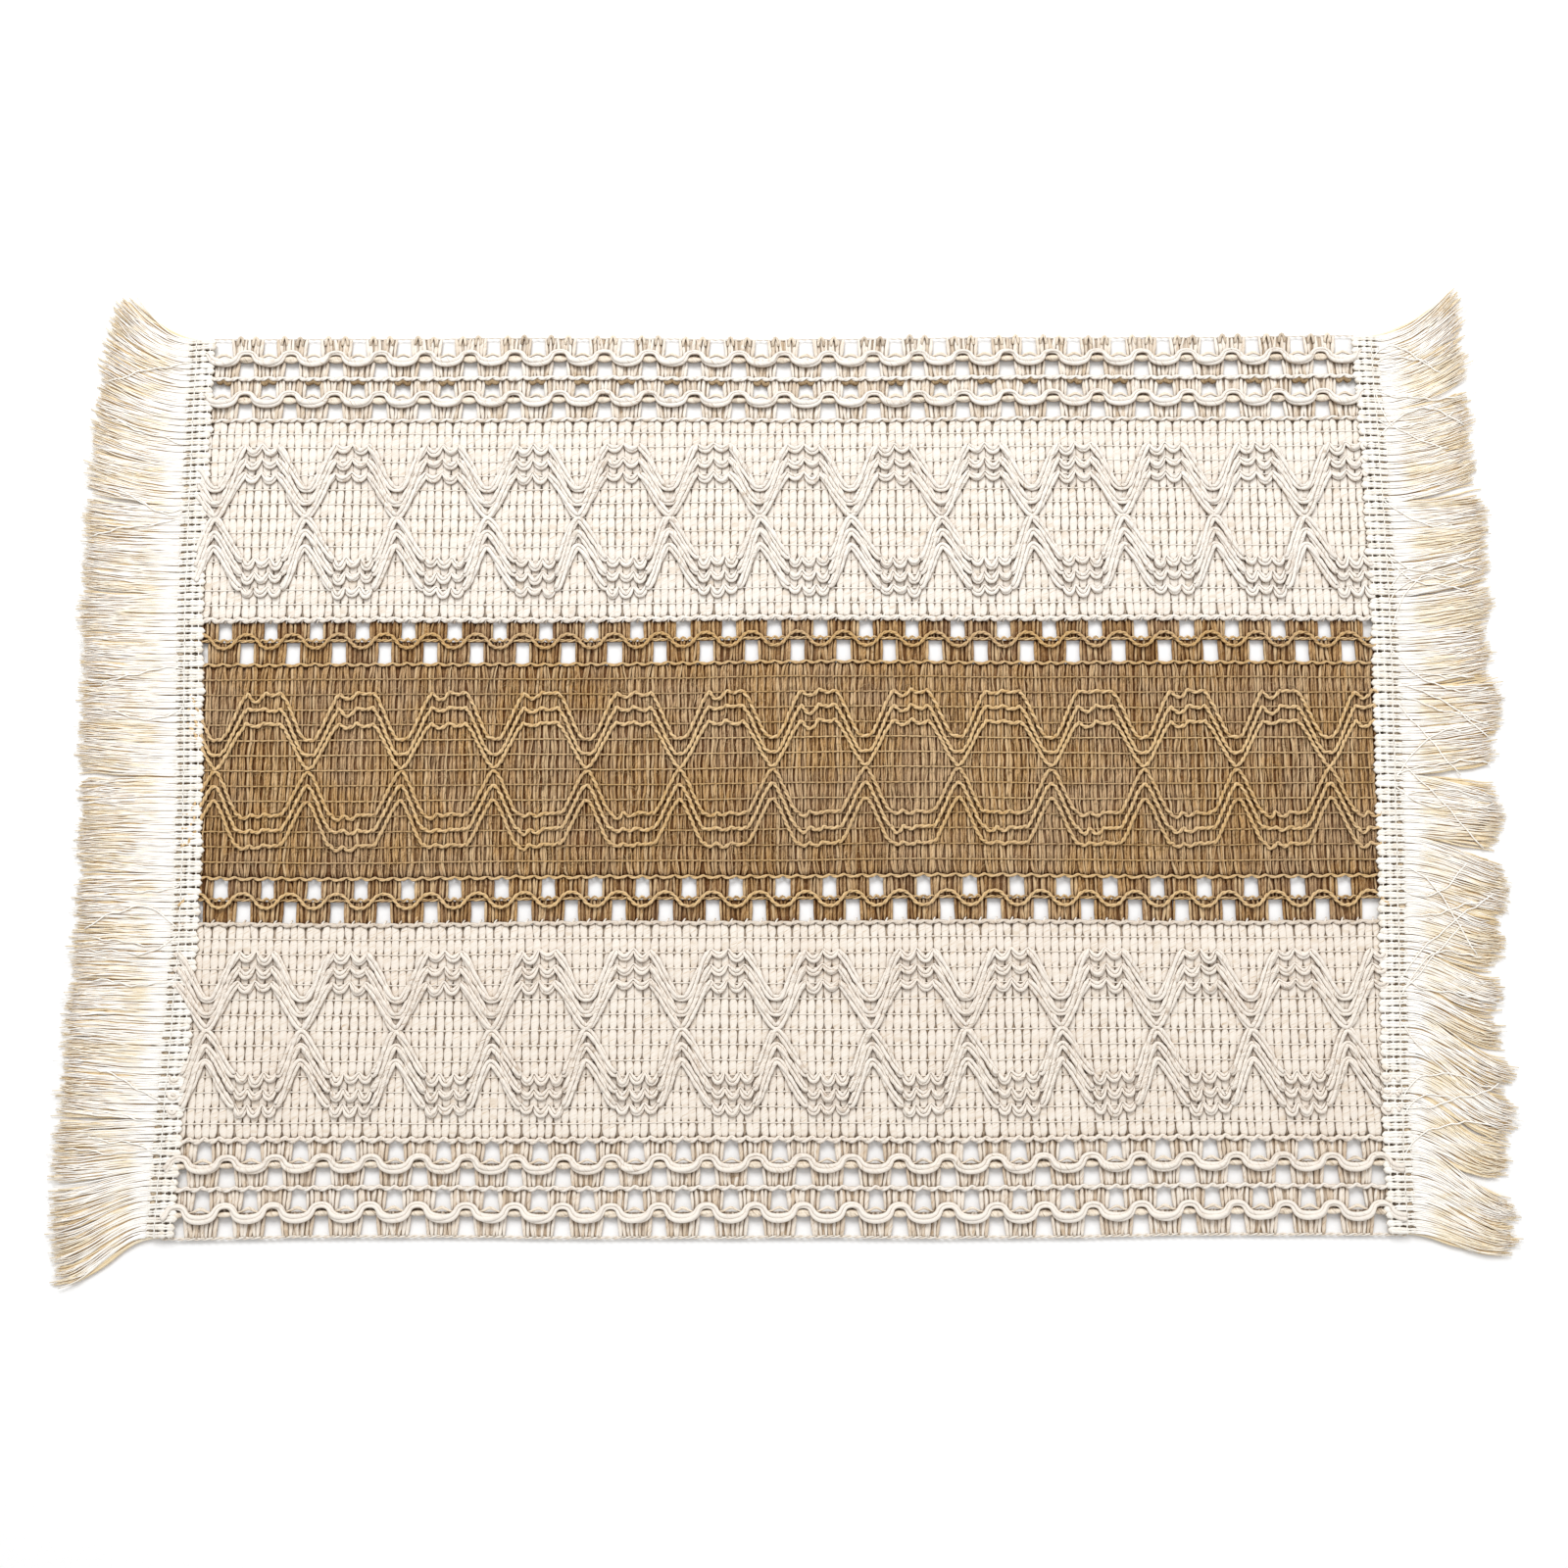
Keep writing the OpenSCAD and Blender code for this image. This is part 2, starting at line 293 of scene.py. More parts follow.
class Nodes:
    """Short hand for building one material's node tree."""

    def __init__(self, name):
        self.mat = bpy.data.materials.new(name)
        self.mat.use_nodes = True
        self.tree = self.mat.node_tree
        self.shader = next(n for n in self.tree.nodes if n.type == "BSDF_PRINCIPLED")

    def feed(self, node, values):
        """Links outputs to a node's sockets, or sets values on them."""
        for key, value in values.items():
            if hasattr(value, "links"):
                self.tree.links.new(value, node.inputs[key])
            else:
                node.inputs[key].default_value = value
        return node

    def add(self, kind, values=(), **settings):
        node = self.tree.nodes.new(kind)
        for key, value in settings.items():
            setattr(node, key, value)
        return self.feed(node, dict(values))

    def combine(self, *values):
        return self.add("ShaderNodeCombineXYZ", enumerate(values)).outputs[0]

    def separate(self, vector):
        return self.add("ShaderNodeSeparateXYZ", {0: vector}).outputs

    def math(self, operation, a, b=0.0):
        return self.add("ShaderNodeMath", {0: a, 1: b}, operation=operation).outputs[0]

    def ramp(self, value, low_at, high_at, low_out=0.0, high_out=1.0):
        ends = {"From Min": low_at, "From Max": high_at, "To Min": low_out, "To Max": high_out}
        node = self.add("ShaderNodeMapRange", {"Value": value, **ends}, interpolation_type="SMOOTHSTEP")
        return node.outputs["Result"]

    def mix(self, factor, a, b):
        node = self.add("ShaderNodeMix", {"Factor": factor, "A": a, "B": b}, data_type="RGBA")
        return node.outputs["Result"]

    def noise(self, vector, scale, detail=3.0, rough=0.55):
        values = {"Vector": vector, "Scale": scale, "Detail": detail, "Roughness": rough}
        return self.add("ShaderNodeTexNoise", values).outputs["Fac"]


# How far away other yarns still paint shade into a crevice between them, in millimetres
CREVICE = 1.6


def rgb(r, g, b):
    """A linear colour from sRGB values of 0 to 255."""
    def linear(c):
        c /= 255
        return c / 12.92 if c <= 0.04045 else ((c + 0.055) / 1.055) ** 2.4

    return (linear(r), linear(g), linear(b), 1.0)


def yarn_material(
    name, body, pale, deep_and_shade, aged, crevice_shade, twist, fibre, bump, low_z, high_z, crevices,
    sheen=0.1, patch=(30, 30), root=0.0,
):
    """Spun yarn: fibres that wind round it once in 1/twist mm, with pale and darker threads among them.

    Painted shade: it darkens from high_z down to low_z and on its undersides, and takes the crevice
    shade colour where other yarns shut it in. It is aged in broad patches. Over its first root mm it
    stays pale. The colours are sRGB.
    """
    body, pale, deep_and_shade, aged, crevice_shade = (rgb(*colour) for colour in (body, pale, deep_and_shade, aged, crevice_shade))
    n = Nodes(name)
    length, turn, _ = n.separate(n.add("ShaderNodeUVMap", uv_map="yarn").outputs["UV"])
    tone = n.add("ShaderNodeAttribute", attribute_name="tone").outputs["Fac"]
    geometry = n.add("ShaderNodeNewGeometry")
    x, y, z = n.separate(geometry.outputs["Position"])
    upward = n.separate(geometry.outputs["Normal"])[2]

    # Noise along the fibres, along each yarn, and across the cloth
    angle = n.math("MULTIPLY", n.math("ADD", turn, n.math("MULTIPLY", length, twist)), tau)
    winding = n.combine(
        n.math("ADD", n.math("COSINE", angle), n.math("MULTIPLY", tone, 37.0)),
        n.math("SINE", angle),
        n.math("MULTIPLY", length, 0.16),
    )
    fibres = n.noise(winding, fibre, 4.0, 0.65)
    unrolled = n.combine(n.math("MULTIPLY", tone, 61.0), turn, n.math("MULTIPLY", length, 0.35))
    patches = n.noise(unrolled, 1.0, 2.0, 0.5)
    across = n.combine(n.math("DIVIDE", x, patch[0] * MM), n.math("DIVIDE", y, patch[1] * MM))
    clouds = n.noise(across, 1.0, 3.0, 0.6)

    colour = n.mix(n.ramp(clouds, 0.42, 0.62), body, aged)
    colour = n.mix(n.ramp(fibres, 0.42, 0.72), colour, pale)
    colour = n.mix(n.ramp(fibres, 0.46, 0.30), colour, deep_and_shade)
    colour = n.mix(n.ramp(patches, 0.58, 0.74, 0.0, 0.45), colour, deep_and_shade)
    if root:
        colour = n.mix(n.ramp(length, root, 0.4 * root, 0.0, 0.85), colour, pale)
    # High tones turn pale and low tones darker: low tones come at random, and as painted shade on yarns
    # under or behind others
    colour = n.mix(n.ramp(tone, 0.5, 0.9, 0.0, 0.7), colour, pale)
    colour = n.mix(n.ramp(tone, 0.4, 0.0, 0.0, 0.45), colour, deep_and_shade)
    # Painted shade: darker from high_z down to low_z, and darker on the undersides
    painted_low_shade = n.ramp(z, high_z * MM, low_z * MM, 0.0, 0.7)
    painted_underside_shade = n.ramp(upward, 0.7, -0.1, 0.0, 0.6)
    colour = n.mix(n.math("MAXIMUM", painted_low_shade, painted_underside_shade), colour, deep_and_shade)
    # Painted shade: the crevice shade colour, where the AO node finds other yarns close
    open_sky = n.add("ShaderNodeAmbientOcclusion", {"Distance": CREVICE * MM}, samples=4)
    colour = n.mix(n.ramp(open_sky.outputs["AO"], 0.7, 0.25, 0.0, crevices), colour, crevice_shade)

    relief = n.add("ShaderNodeBump", {"Height": fibres, "Strength": 0.8, "Distance": bump * MM})
    n.feed(n.shader, {
        "Base Color": colour,
        "Roughness": n.ramp(fibres, 0.2, 0.8, 0.95, 0.78),
        "Sheen Weight": sheen,
        "Sheen Roughness": 0.6,
        "Specular IOR Level": 0.05,
        "Normal": relief.outputs["Normal"],
    })
    return n.mat


# Crevice colours: painted shade where other yarns shut a yarn in
COTTON_CREVICE_SHADE = (116, 84, 46)
JUTE_CREVICE_SHADE = (78, 30, 0)
# How yarns that several materials share are spun, and the heights between which painted shade darkens
# them downwards
THREAD_SPUN = dict(twist=0.5, fibre=2.0, low_z=0.4, high_z=1.6)
INLAY_SPUN = dict(twist=0.3, fibre=2.4, bump=0.08, low_z=0.6, high_z=2.0)
STRAND_SPUN = dict(twist=0.3, fibre=2.0, bump=0.03, low_z=0.1, high_z=1.0)


def cotton_yarns(place, *shares):
    """One cotton strip's materials, in cream dimmed to the given shares of red, green and blue; the lower
    strip's stronger dimming is painted shade.
    """

    def cream(name, body, pale, deep_and_shade, aged, **spun):
        dimmed = ([c * share for c, share in zip(colour, shares)] for colour in (body, pale, deep_and_shade, aged))
        return yarn_material(f"{place}_cotton_{name}", *dimmed, COTTON_CREVICE_SHADE, **spun)

    return {
        "ribs": cream(
            "yarn", (246, 239, 229), (252, 249, 241), (218, 198, 170), (243, 234, 223),
            twist=0.16, fibre=2.6, bump=0.12, low_z=0.4, high_z=1.9, crevices=0.7,
        ),
        "ground": cream(
            "ground", (248, 242, 233), (252, 249, 241), (236, 224, 206), (246, 239, 229),
            bump=0.03, crevices=0.2, **THREAD_SPUN,
        ),
        "bars": cream(
            "bar", (246, 236, 222), (253, 248, 239), (196, 168, 130), (243, 231, 214),
            twist=0.16, fibre=2.6, bump=0.12, low_z=0.2, high_z=1.4, crevices=0.7,
        ),
        "cords": cream(
            "cord", (247, 241, 231), (254, 250, 243), (160, 128, 88), (244, 236, 225),
            twist=0.3, fibre=2.0, bump=0.08, low_z=0.8, high_z=2.2, crevices=1.0,
        ),
        "chains": cream(
            "thread", (249, 243, 233), (254, 251, 245), (180, 154, 118), (247, 238, 227),
            bump=0.05, crevices=0.9, **THREAD_SPUN,
        ),
    }


# The lower strip's cream is dimmed more than the upper's: painted shade for the light that falls off
# towards the bottom
CREAM = {
    "upper": cotton_yarns("upper", 0.98, 0.975, 0.973),
    "lower": cotton_yarns("lower", 0.968, 0.954, 0.942),
}
# Painted shadow: a dark brown copy of the cotton for the weft turns under the lace's middle chain, over
# the eyelets below it
COTTON_PAINTED_SHADOW = yarn_material(
    "cotton_shade", (158, 132, 98), (204, 182, 150), (108, 80, 46), (148, 122, 88), COTTON_CREVICE_SHADE,
    crevices=0.9, sheen=0.0, **INLAY_SPUN,
)
# A tan copy of the cotton: painted shade on the beads under the arches and on the turns along the top
# edge
COTTON_INLAY_PAINTED_SHADE = yarn_material(
    "cotton_inlay", (240, 225, 204), (251, 242, 227), (118, 88, 50), (235, 218, 194), COTTON_CREVICE_SHADE,
    crevices=1.0, **INLAY_SPUN,
)
STITCH = yarn_material(
    "stitch_thread", (252, 247, 238), (255, 253, 247), (240, 228, 208), (250, 244, 234), COTTON_CREVICE_SHADE,
    bump=0.03, crevices=0.15, **THREAD_SPUN,
)
JUTE = yarn_material(
    "jute_yarn", (206, 160, 100), (253, 222, 176), (92, 42, 0), (208, 172, 132), JUTE_CREVICE_SHADE,
    twist=0.2, fibre=4.6, bump=0.6, low_z=0.6, high_z=2.0, crevices=0.95, sheen=0.0,
)
JUTE_THREAD = yarn_material(
    "jute_thread", (208, 168, 110), (246, 214, 164), (92, 50, 0), (208, 176, 136), JUTE_CREVICE_SHADE,
    twist=0.6, fibre=3.6, bump=0.22, low_z=0.8, high_z=2.1, crevices=1.0, sheen=0.0,
)
HEADER = yarn_material(
    "header_yarn", (249, 244, 235), (254, 251, 245), (220, 202, 172), (247, 240, 229), (92, 70, 44),
    twist=0.15, fibre=3.0, bump=0.12, low_z=0.6, high_z=1.9, crevices=0.9,
)
STRAND = yarn_material(
    "fringe_yarn", (255, 252, 246), (255, 254, 251), (243, 228, 196), (242, 226, 190), (200, 158, 100),
    crevices=0.6, patch=(30, 8), root=9.0, **STRAND_SPUN,
)
# The fringe's lower layer: a golden copy of the strand yarn, painted shade where it lies under the upper
# layer
UNDER_STRAND_PAINTED_SHADE = yarn_material(
    "fringe_under_yarn",
    (246, 233, 204), (253, 246, 228), (228, 202, 154), (238, 218, 176), (188, 142, 80),
    crevices=0.65, patch=(26, 8), root=12.0, **STRAND_SPUN,
)


# ---- laid-in weft

# A cotton rib's half sizes between the chains, how much each chain nips it, and its middle's height
RIB_HALF_W, RIB_HALF_H = 1.38, 0.76
NIP = 0.4
RIB_LEVEL = 0.62 * WEFT_T
# The height and half height of the yarns behind the ribs and the bars
BACK_LEVEL, BACK_HALF_H = 0.48, 0.42


def halfway(start, apart):
    """All the weave's places halfway between the repeats of start, which are this far apart."""
    first = ceil((-REACH - start) / apart - 0.5)
    last = floor((REACH - start) / apart - 0.5)
    return start + (np.arange(first, last + 1) + 0.5) * apart


def from_nearest(x, start, apart):
    """Distance to the nearest repeat of start."""
    return (x - start + apart / 2) % apart - apart / 2


def rib_places(crossing):
    """Where the ribs stand: a crossing lies between two of them."""
    return halfway(crossing, RIB)


def gather(x, eyelet_x):
    """Ribs by an eyelet huddle in fours, and those by a bar in twos, which leaves a notch between."""
    d = from_nearest(x, eyelet_x, EYELET)
    to_bar = d - np.sign(d) * EYELET / 2
    return np.where(np.abs(d) > 2 * RIB, -0.45 * to_bar, -0.18 * d)


def band_ribs(strip, count):
    """Places of the ribs across one pattern band, and how strongly each point is drawn in.

    They gather beside the eyelets at both edges and bow round the hexagons' middles.
    """
    x = rib_places(strip.crossing)
    y = np.linspace(strip.band[0], strip.band[1], count)
    rng = draws(strip.name + "ribs")
    near_low = exp(-(y - y[0]) / 2.2)
    near_high = exp(-(y[-1] - y) / 2.2)
    from_middle = (y - (y[0] + y[-1]) / 2) / MOTIF
    from_crossing = from_nearest(x, strip.crossing, MOTIF)
    bow = -0.5 * sin(from_crossing / MOTIF * tau)[:, None] * exp(-((from_middle * 2.6) ** 2))
    xs = (
        x[:, None]
        + gather(x, strip.low_eyelet)[:, None] * near_low
        + gather(x, strip.high_eyelet)[:, None] * near_high
        + bow
        + wander(rng, y[None], 23, strip.unevenness, len(x))
    )
    drawn_in = np.broadcast_to(near_low + near_high, xs.shape)
    return xs, np.broadcast_to(y, xs.shape), drawn_in, rng


def chain_ys(strip):
    """Where the chains lie across a band, its two edges among them."""
    return np.linspace(strip.band[0], strip.band[1], GAPS + 1)


def at_chain(y, strip):
    """1 at each chain and 0 midway between chains."""
    gap = (strip.band[1] - strip.band[0]) / GAPS
    return 0.5 + 0.5 * cos(tau * (y - strip.band[0]) / gap)


def cotton_ribs(strip):
    """Plump ribs that touch between the chains, and leave small dark pits beside each stitch."""
    xs, ys, drawn_in, rng = band_ribs(strip, 4 * GAPS + 1)
    tight = at_chain(ys, strip) ** 2
    z = RIB_LEVEL + wander(rng, ys, 17, 0.08)
    nip = NIP + wander(rng, ys, 11, 0.3)
    half_w = (RIB_HALF_W - nip * tight + wander(rng, ys, 13, 0.06)) * (1 - 0.22 * drawn_in)
    half_h = RIB_HALF_H * (1 - 0.12 * drawn_in)
    tones = 0.5 + 0.3 * (rng.random(len(xs)) - 0.5)
    return Yarns().add(points(xs, ys, z), half_w, half_h, RIB_SECTION, tones)


def jute_strands(strip, name, hands, sway, half_w, level, rings, section):
    """Hard strands in each rib, one for each hand, which sway from side to side of the rib."""
    xs, ys, drawn_in, _ = band_ribs(strip, rings)
    rng = draws(name)
    tight = at_chain(ys, strip)
    yarns = Yarns()
    for hand in hands:
        turn = wander(rng, ys, 31, 1.0)
        x = xs + hand * sway * (1 - 0.2 * drawn_in) * cos(turn) + wander(rng, ys, 11, 0.16)
        z = WEFT_T * level + hand * 0.26 * sin(turn) - 0.06 * tight + wander(rng, ys, 14, 0.12)
        width = half_w - 0.05 * tight - 0.06 * drawn_in + wander(rng, ys, 7, 0.06)
        tones = 0.2 + 0.65 * rng.random(len(xs))
        yarns.add(points(x, ys, z), width, width * 1.1, section, tones)
    return yarns


def jute_hairs(strip, count):
    """Short stiff fibres that stand out of the jute."""
    rng = draws(strip.name + "hairs")
    t = np.linspace(0, 1, 5)
    x = rng.uniform(-HALF_L, HALF_L, (count, 1))
    y = rng.uniform(strip.band[0] + 1, strip.band[1] - 6, (count, 1))
    bearing = rng.normal(pi / 2, 0.5, (count, 1))
    reach = rng.uniform(2, 6, (count, 1))
    curl = rng.normal(0, 0.8, (count, 1))
    xs = x + reach * t * cos(bearing + curl * t)
    ys = y + reach * t * sin(bearing + curl * t)
    z = WEFT_T * 0.9 + 0.6 * sin(pi * t) * rng.uniform(0.2, 1, (count, 1))
    return Yarns().add(points(xs, ys, z), 0.07, 0.07, round_section(3), rng.random(count))


def back_ribs(strip, half_w):
    """The weft's return courses, half a rib out of step, seen in the grooves and from below."""
    x = rib_places(strip.crossing)[:-1] + RIB / 2
    y = np.linspace(strip.band[0] + 0.4, strip.band[1] - 0.4, 25)
    rng = draws(strip.name + "back")
    xs = x[:, None] + wander(rng, y[None], 19, 0.12, len(x))
    return Yarns().add(points(xs, y, BACK_LEVEL), half_w, BACK_HALF_H, MEDIUM, rng.random(len(x)))


# ---- openwork rows

# A bar's reach to each side of its middle, its yarns' height and half height, and where the yarns
# behind it stand, as shares of its reach
BAR_REACH = 4.9
BAR_LEVEL = 0.56 * WEFT_T
BAR_HALF_H = 0.5
BEHIND_BAR = (-0.72, -0.24, 0.24, 0.72)


def row_bars(yarns, low_y, eyelet_x, strand_w, per_bar, waist, rng):
    """The bars of one eyelet row: loose yarns, drawn in by waist at their lower ends, over four more."""
    bars = halfway(eyelet_x, EYELET)
    t = np.linspace(0, 1, 11)
    y = low_y + ROW * t
    share = np.linspace(-1, 1, per_bar)
    inner = 1 - 0.8 * np.abs(share)
    place = share[None] + rng.normal(0, 0.1, (len(bars), per_bar)) * inner
    cross = rng.normal(0, 0.6, place.shape) * inner
    bow = rng.normal(0, 0.3, place.shape) * inner
    narrow = 1 - waist * (1 - t)
    xs = (
        bars[:, None, None]
        + BAR_REACH * place[..., None] * narrow
        + cross[..., None] * (t - 0.5)
        + bow[..., None] * sin(pi * t)
    )
    xs = xs.reshape(-1, len(t))
    z = BAR_LEVEL + wander(rng, y[None], 8, 0.2, len(xs))
    half_w = strand_w * rng.uniform(0.75, 1.2, (len(xs), 1)) * (0.75 + 0.35 * sin(pi * t))
    yarns.add(points(xs, y, z), half_w, BAR_HALF_H, MEDIUM, rng.random(len(xs)))
    # The yarns behind each bar get low tones: painted shade under the bars
    for behind in BEHIND_BAR:
        xs = bars[:, None] + behind * BAR_REACH * narrow
        tones = 0.6 * rng.random(len(bars))
        yarns.add(points(xs, y, 0.5), 1.4, BACK_HALF_H, MEDIUM, tones)


def turning_loops(yarns, y, reach, eyelet_x, apart, half_w, rng):
    """The weft's turns at a row's edge: a pair of small loops to each bar, apart either side of it."""
    t = np.linspace(0, pi, 9)
    middle = (halfway(eyelet_x, EYELET)[:, None] + [-apart, apart]).reshape(-1, 1)
    middle += rng.normal(0, 0.2, middle.shape)
    xs = middle - 0.9 * cos(t)
    ys = y - reach + reach * sin(t) + rng.normal(0, 0.15, (len(middle), 1))
    z = 1.25 + 0.2 * sin(t)
    # Their tones are held low: painted shade
    yarns.add(points(xs, ys, z), half_w, half_w, MEDIUM, 0.1 + 0.4 * rng.random(len(middle)))


# ---- warp chains

# How high the chains beside the eyelets lie
LOBE_LEVEL = 1.9


def thread_pair(yarns, x, y, z, radius, sway, beat, rng):
    """Two fine threads that swing round each other along x."""
    for hand in (-1, 1):
        across = hand * sway
        path = points(x, y + across * sin(beat / 2), z + 0.5 * across * cos(beat / 2))
        yarns.add(path[None], radius, radius, COARSE, rng.random(1))


def ground_chain(yarns, y, rib_x, top_z, groove_z, radius, sway, rng):
    """A warp chain of a band, which lies on the ribs and dips into the grooves."""
    x = np.arange(-REACH, REACH, RIB / 4)
    beat = tau * (x - rib_x) / RIB
    drift = wander(rng, x[None], 60, 0.12)[0]
    z = (top_z + groove_z) / 2 + (top_z - groove_z) / 2 * cos(beat)
    thread_pair(yarns, x, y + drift, z, radius, sway, beat, rng)


def lobes(x, eyelet_x, cusps):
    """How far a chain hangs at each x, 0 to 1, in lobes between cusps about each eyelet's middle."""
    d = (x - eyelet_x - cusps[0]) % EYELET + cusps[0]
    edges = np.array([*cusps, cusps[0] + EYELET])
    lobe = np.clip(np.searchsorted(edges, d, side="right") - 1, 0, len(cusps) - 1)
    t = (d - edges[lobe]) / (edges[lobe + 1] - edges[lobe])
    return soften(sin(pi * t) ** 0.8, 0.4, 0.25)


def lobed_chain(yarns, y, eyelet_x, cusps, depth, radius, sway, rng):
    """A chain that bounds an eyelet row and hangs in lobes."""
    x = np.arange(-REACH, REACH, 0.4)
    hang = lobes(x, eyelet_x, cusps)
    drift = wander(rng, x[None], 25, 0.12)[0]
    beat = tau * x / RIB
    swell = radius * (0.7 + 0.4 * hang)
    y = y + drift - depth * (hang - 0.4)
    thread_pair(yarns, x, y, LOBE_LEVEL + 0.1 * hang, swell, sway, beat, rng)


# ---- cords

# How far along a cord its yarns go round it once
COTTON_LAY = 44
JUTE_LAY = 4.2
# A scallop cord's half width in its crescents
CRESCENT_W = 1.55


def hexagon_line(crossing, level, drop, scoops, depth, valley_l, uneven, rng):
    """A pattern cord's centre line: scoops along its level stretches, and valleys that reach drop away.

    scoops lists (from, to, depth share) from each level stretch's middle. In place of a height, each
    point has the cord's plumpness: 0 where two scoops meet, and 1 in their middles and on the slopes.
    """
    step = 0.15
    x = np.arange(-REACH, REACH, step)
    middle = crossing + MOTIF / 2
    motif = np.round((x - middle) / MOTIF).astype(int)
    u = x - middle - motif * MOTIF
    left, right = scoops[0][0], scoops[-1][1]
    out = np.maximum(left - u, u - right)
    run = np.where(u < 0, MOTIF / 2 + left, MOTIF / 2 - right) - valley_l / 2
    ramp = np.clip(out / run, 0, 1)
    ramp = 0.55 * ramp + 0.45 * ramp * ramp * (3 - 2 * ramp)
    scoop = np.zeros_like(x)
    share = np.zeros_like(x)
    vary = rng.uniform(1 - uneven, 1 + uneven, (motif.max() - motif.min() + 1, len(scoops)))
    for k, (a, b, part) in enumerate(scoops):
        inside = (u >= a) & (u < b)
        arc = sin(pi * np.clip((u - a) / (b - a), 0, 1))
        share = np.where(inside, arc, share)
        scoop = np.where(inside, arc * part * vary[motif - motif.min(), k], scoop)
    dip = depth * (scoop - 0.4 * (out < 0))
    y = level + soften(drop * ramp, step, 0.5) - soften(dip, step, 0.12)
    return points(x, y, soften(share + (out > 0), step, 0.2))


def cotton_cord(line, z, half_w, count, part, rng):
    """A soft cotton cord of several fine yarns, plumper between its stitches than under them."""
    path = resample(line, 0.5)
    plump = path[:, 2] * (1 - 0.22 * at_chain(path[:, 1], part) ** 6 * (path[:, 2] > 0.9))
    path[:, 2] = z + 0.7 * plump
    width = half_w * (0.4 + 0.6 * plump)
    s = along(path[None])
    yarns = Yarns()
    for yarn in bundle(path, width * 0.54, 0.34, count, COTTON_LAY, rng):
        strand = width * 0.52 * (1 + wander(rng, s, 5, 0.14))
        yarns.add(yarn[None], strand, strand, MEDIUM, 0.4 + 0.4 * rng.random(1))
    return yarns


def jute_cord(line, z, radius, rng):
    """A hard jute cord of two plies twisted together."""
    path = resample(line, 0.6)
    s = along(path[None])
    path[:, 1] += wander(rng, s, 7, 0.22)[0]
    path[:, 2] = z + 0.25 * path[:, 2] + wander(rng, s, 12, 0.2)[0]
    yarns = Yarns()
    for yarn in bundle(path, radius * 0.42, radius * 0.42, 2, JUTE_LAY, rng):
        strand = radius * (0.62 + wander(rng, s, 5, 0.16))
        yarns.add(yarn[None], strand, strand, MEDIUM, 0.3 + 0.7 * rng.random(1))
    return yarns


def wave_line(trough_x, y, rise, bulge, widen):
    """A wave with its low points at trough_x, and how far each point is towards a low one (0 to 1).

    bulge steepens its sides, and widen takes that much from each side of its high points.
    """
    turns = 2 * REACH / EYELET + 1
    phase = np.arange(-pi * turns, pi * turns, 0.04)
    middle = trough_x - EYELET * round(trough_x / EYELET)
    x = middle + EYELET * phase / tau + bulge * sin(2 * phase) + widen * sin(phase)
    lowness = 0.5 + 0.5 * cos(phase)
    path = points(x, y + rise * (0.5 - lowness), lowness)
    return path[np.abs(x) < REACH]


def companion_line(trough_x, y, rise):
    """The nearly straight cord behind a wave, and how near each point is to the wave's low points."""
    x = np.arange(-REACH, REACH, 0.5)
    lowness = 0.5 + 0.5 * cos(tau * (x - trough_x) / EYELET)
    return points(x, y + rise * (lowness - 0.5), lowness)


def cotton_wave(trough_x, y, rise, arch_w, rng):
    """A lace row's thick cord: plump crescents at its low points, and narrow arches between."""
    path = resample(wave_line(trough_x, y, rise, 0.7, 0.75), 0.55)
    lowness = path[:, 2].copy()
    path[:, 2] = 2.2 + 0.5 * lowness
    yarns = Yarns()
    width = arch_w + (CRESCENT_W - arch_w) * lowness**2
    for yarn in bundle(path, width * 0.5, 0.4, 3, 60, rng):
        yarns.add(yarn[None], width * 0.56, 0.7, FINE, 0.5 + 0.4 * rng.random(1))
    return yarns


def cotton_inlay(trough_x, y, rng):
    """The soft yarn behind a lace row's cord, which swells into a bead in each arch."""
    path = companion_line(trough_x, y, 0.9)
    lowness = path[:, 2].copy()
    swell = (1 - lowness) ** 3
    ring = lowness**8
    path[:, 1] += 0.9 * ring
    path[:, 2] = 1.75 + 0.35 * lowness
    width = 0.35 + 0.85 * swell + 0.2 * ring
    yarns = Yarns()
    for yarn in bundle(path, width * 0.3, width * 0.2, 2, 30, rng):
        yarns.add(yarn[None], width * 0.8, width * 0.7, MEDIUM, 0.3 + 0.5 * rng.random(1))
    return yarns


def jute_wave(trough_x, y, rng):
    """The jute openwork's cord, and the thin chain that runs straight behind it."""
    path = resample(wave_line(trough_x, y, 4.7, 0.35, 0.0), 0.6)
    path[:, 2] = 2.1 + 0.3 * path[:, 2]
    yarns = Yarns()
    s = along(path[None])
    for yarn in bundle(path, 0.26, 0.26, 2, JUTE_LAY, rng):
        strand = 0.38 + wander(rng, s, 6, 0.09)
        yarns.add(yarn[None], strand, strand, MEDIUM, 0.3 + 0.7 * rng.random(1))
    path = companion_line(trough_x, y + 0.35, 0.1)
    lowness = path[:, 2].copy()
    path[:, 2] = 1.7
    path[:, 1] += 0.4 * lowness * cos(tau * (path[:, 0] - trough_x) / RIB)
    for yarn in bundle(path, 0.28, 0.2, 2, 5.0, rng):
        yarns.add(yarn[None], 0.3, 0.3, COARSE, rng.random(1))
    return yarns


# ---- strips


# A strip's pattern band: its low and high edge, where a crossing and the eyelets past those edges lie,
# and how far its ribs stray
Strip = namedtuple("Strip", "name band crossing low_eyelet high_eyelet unevenness")

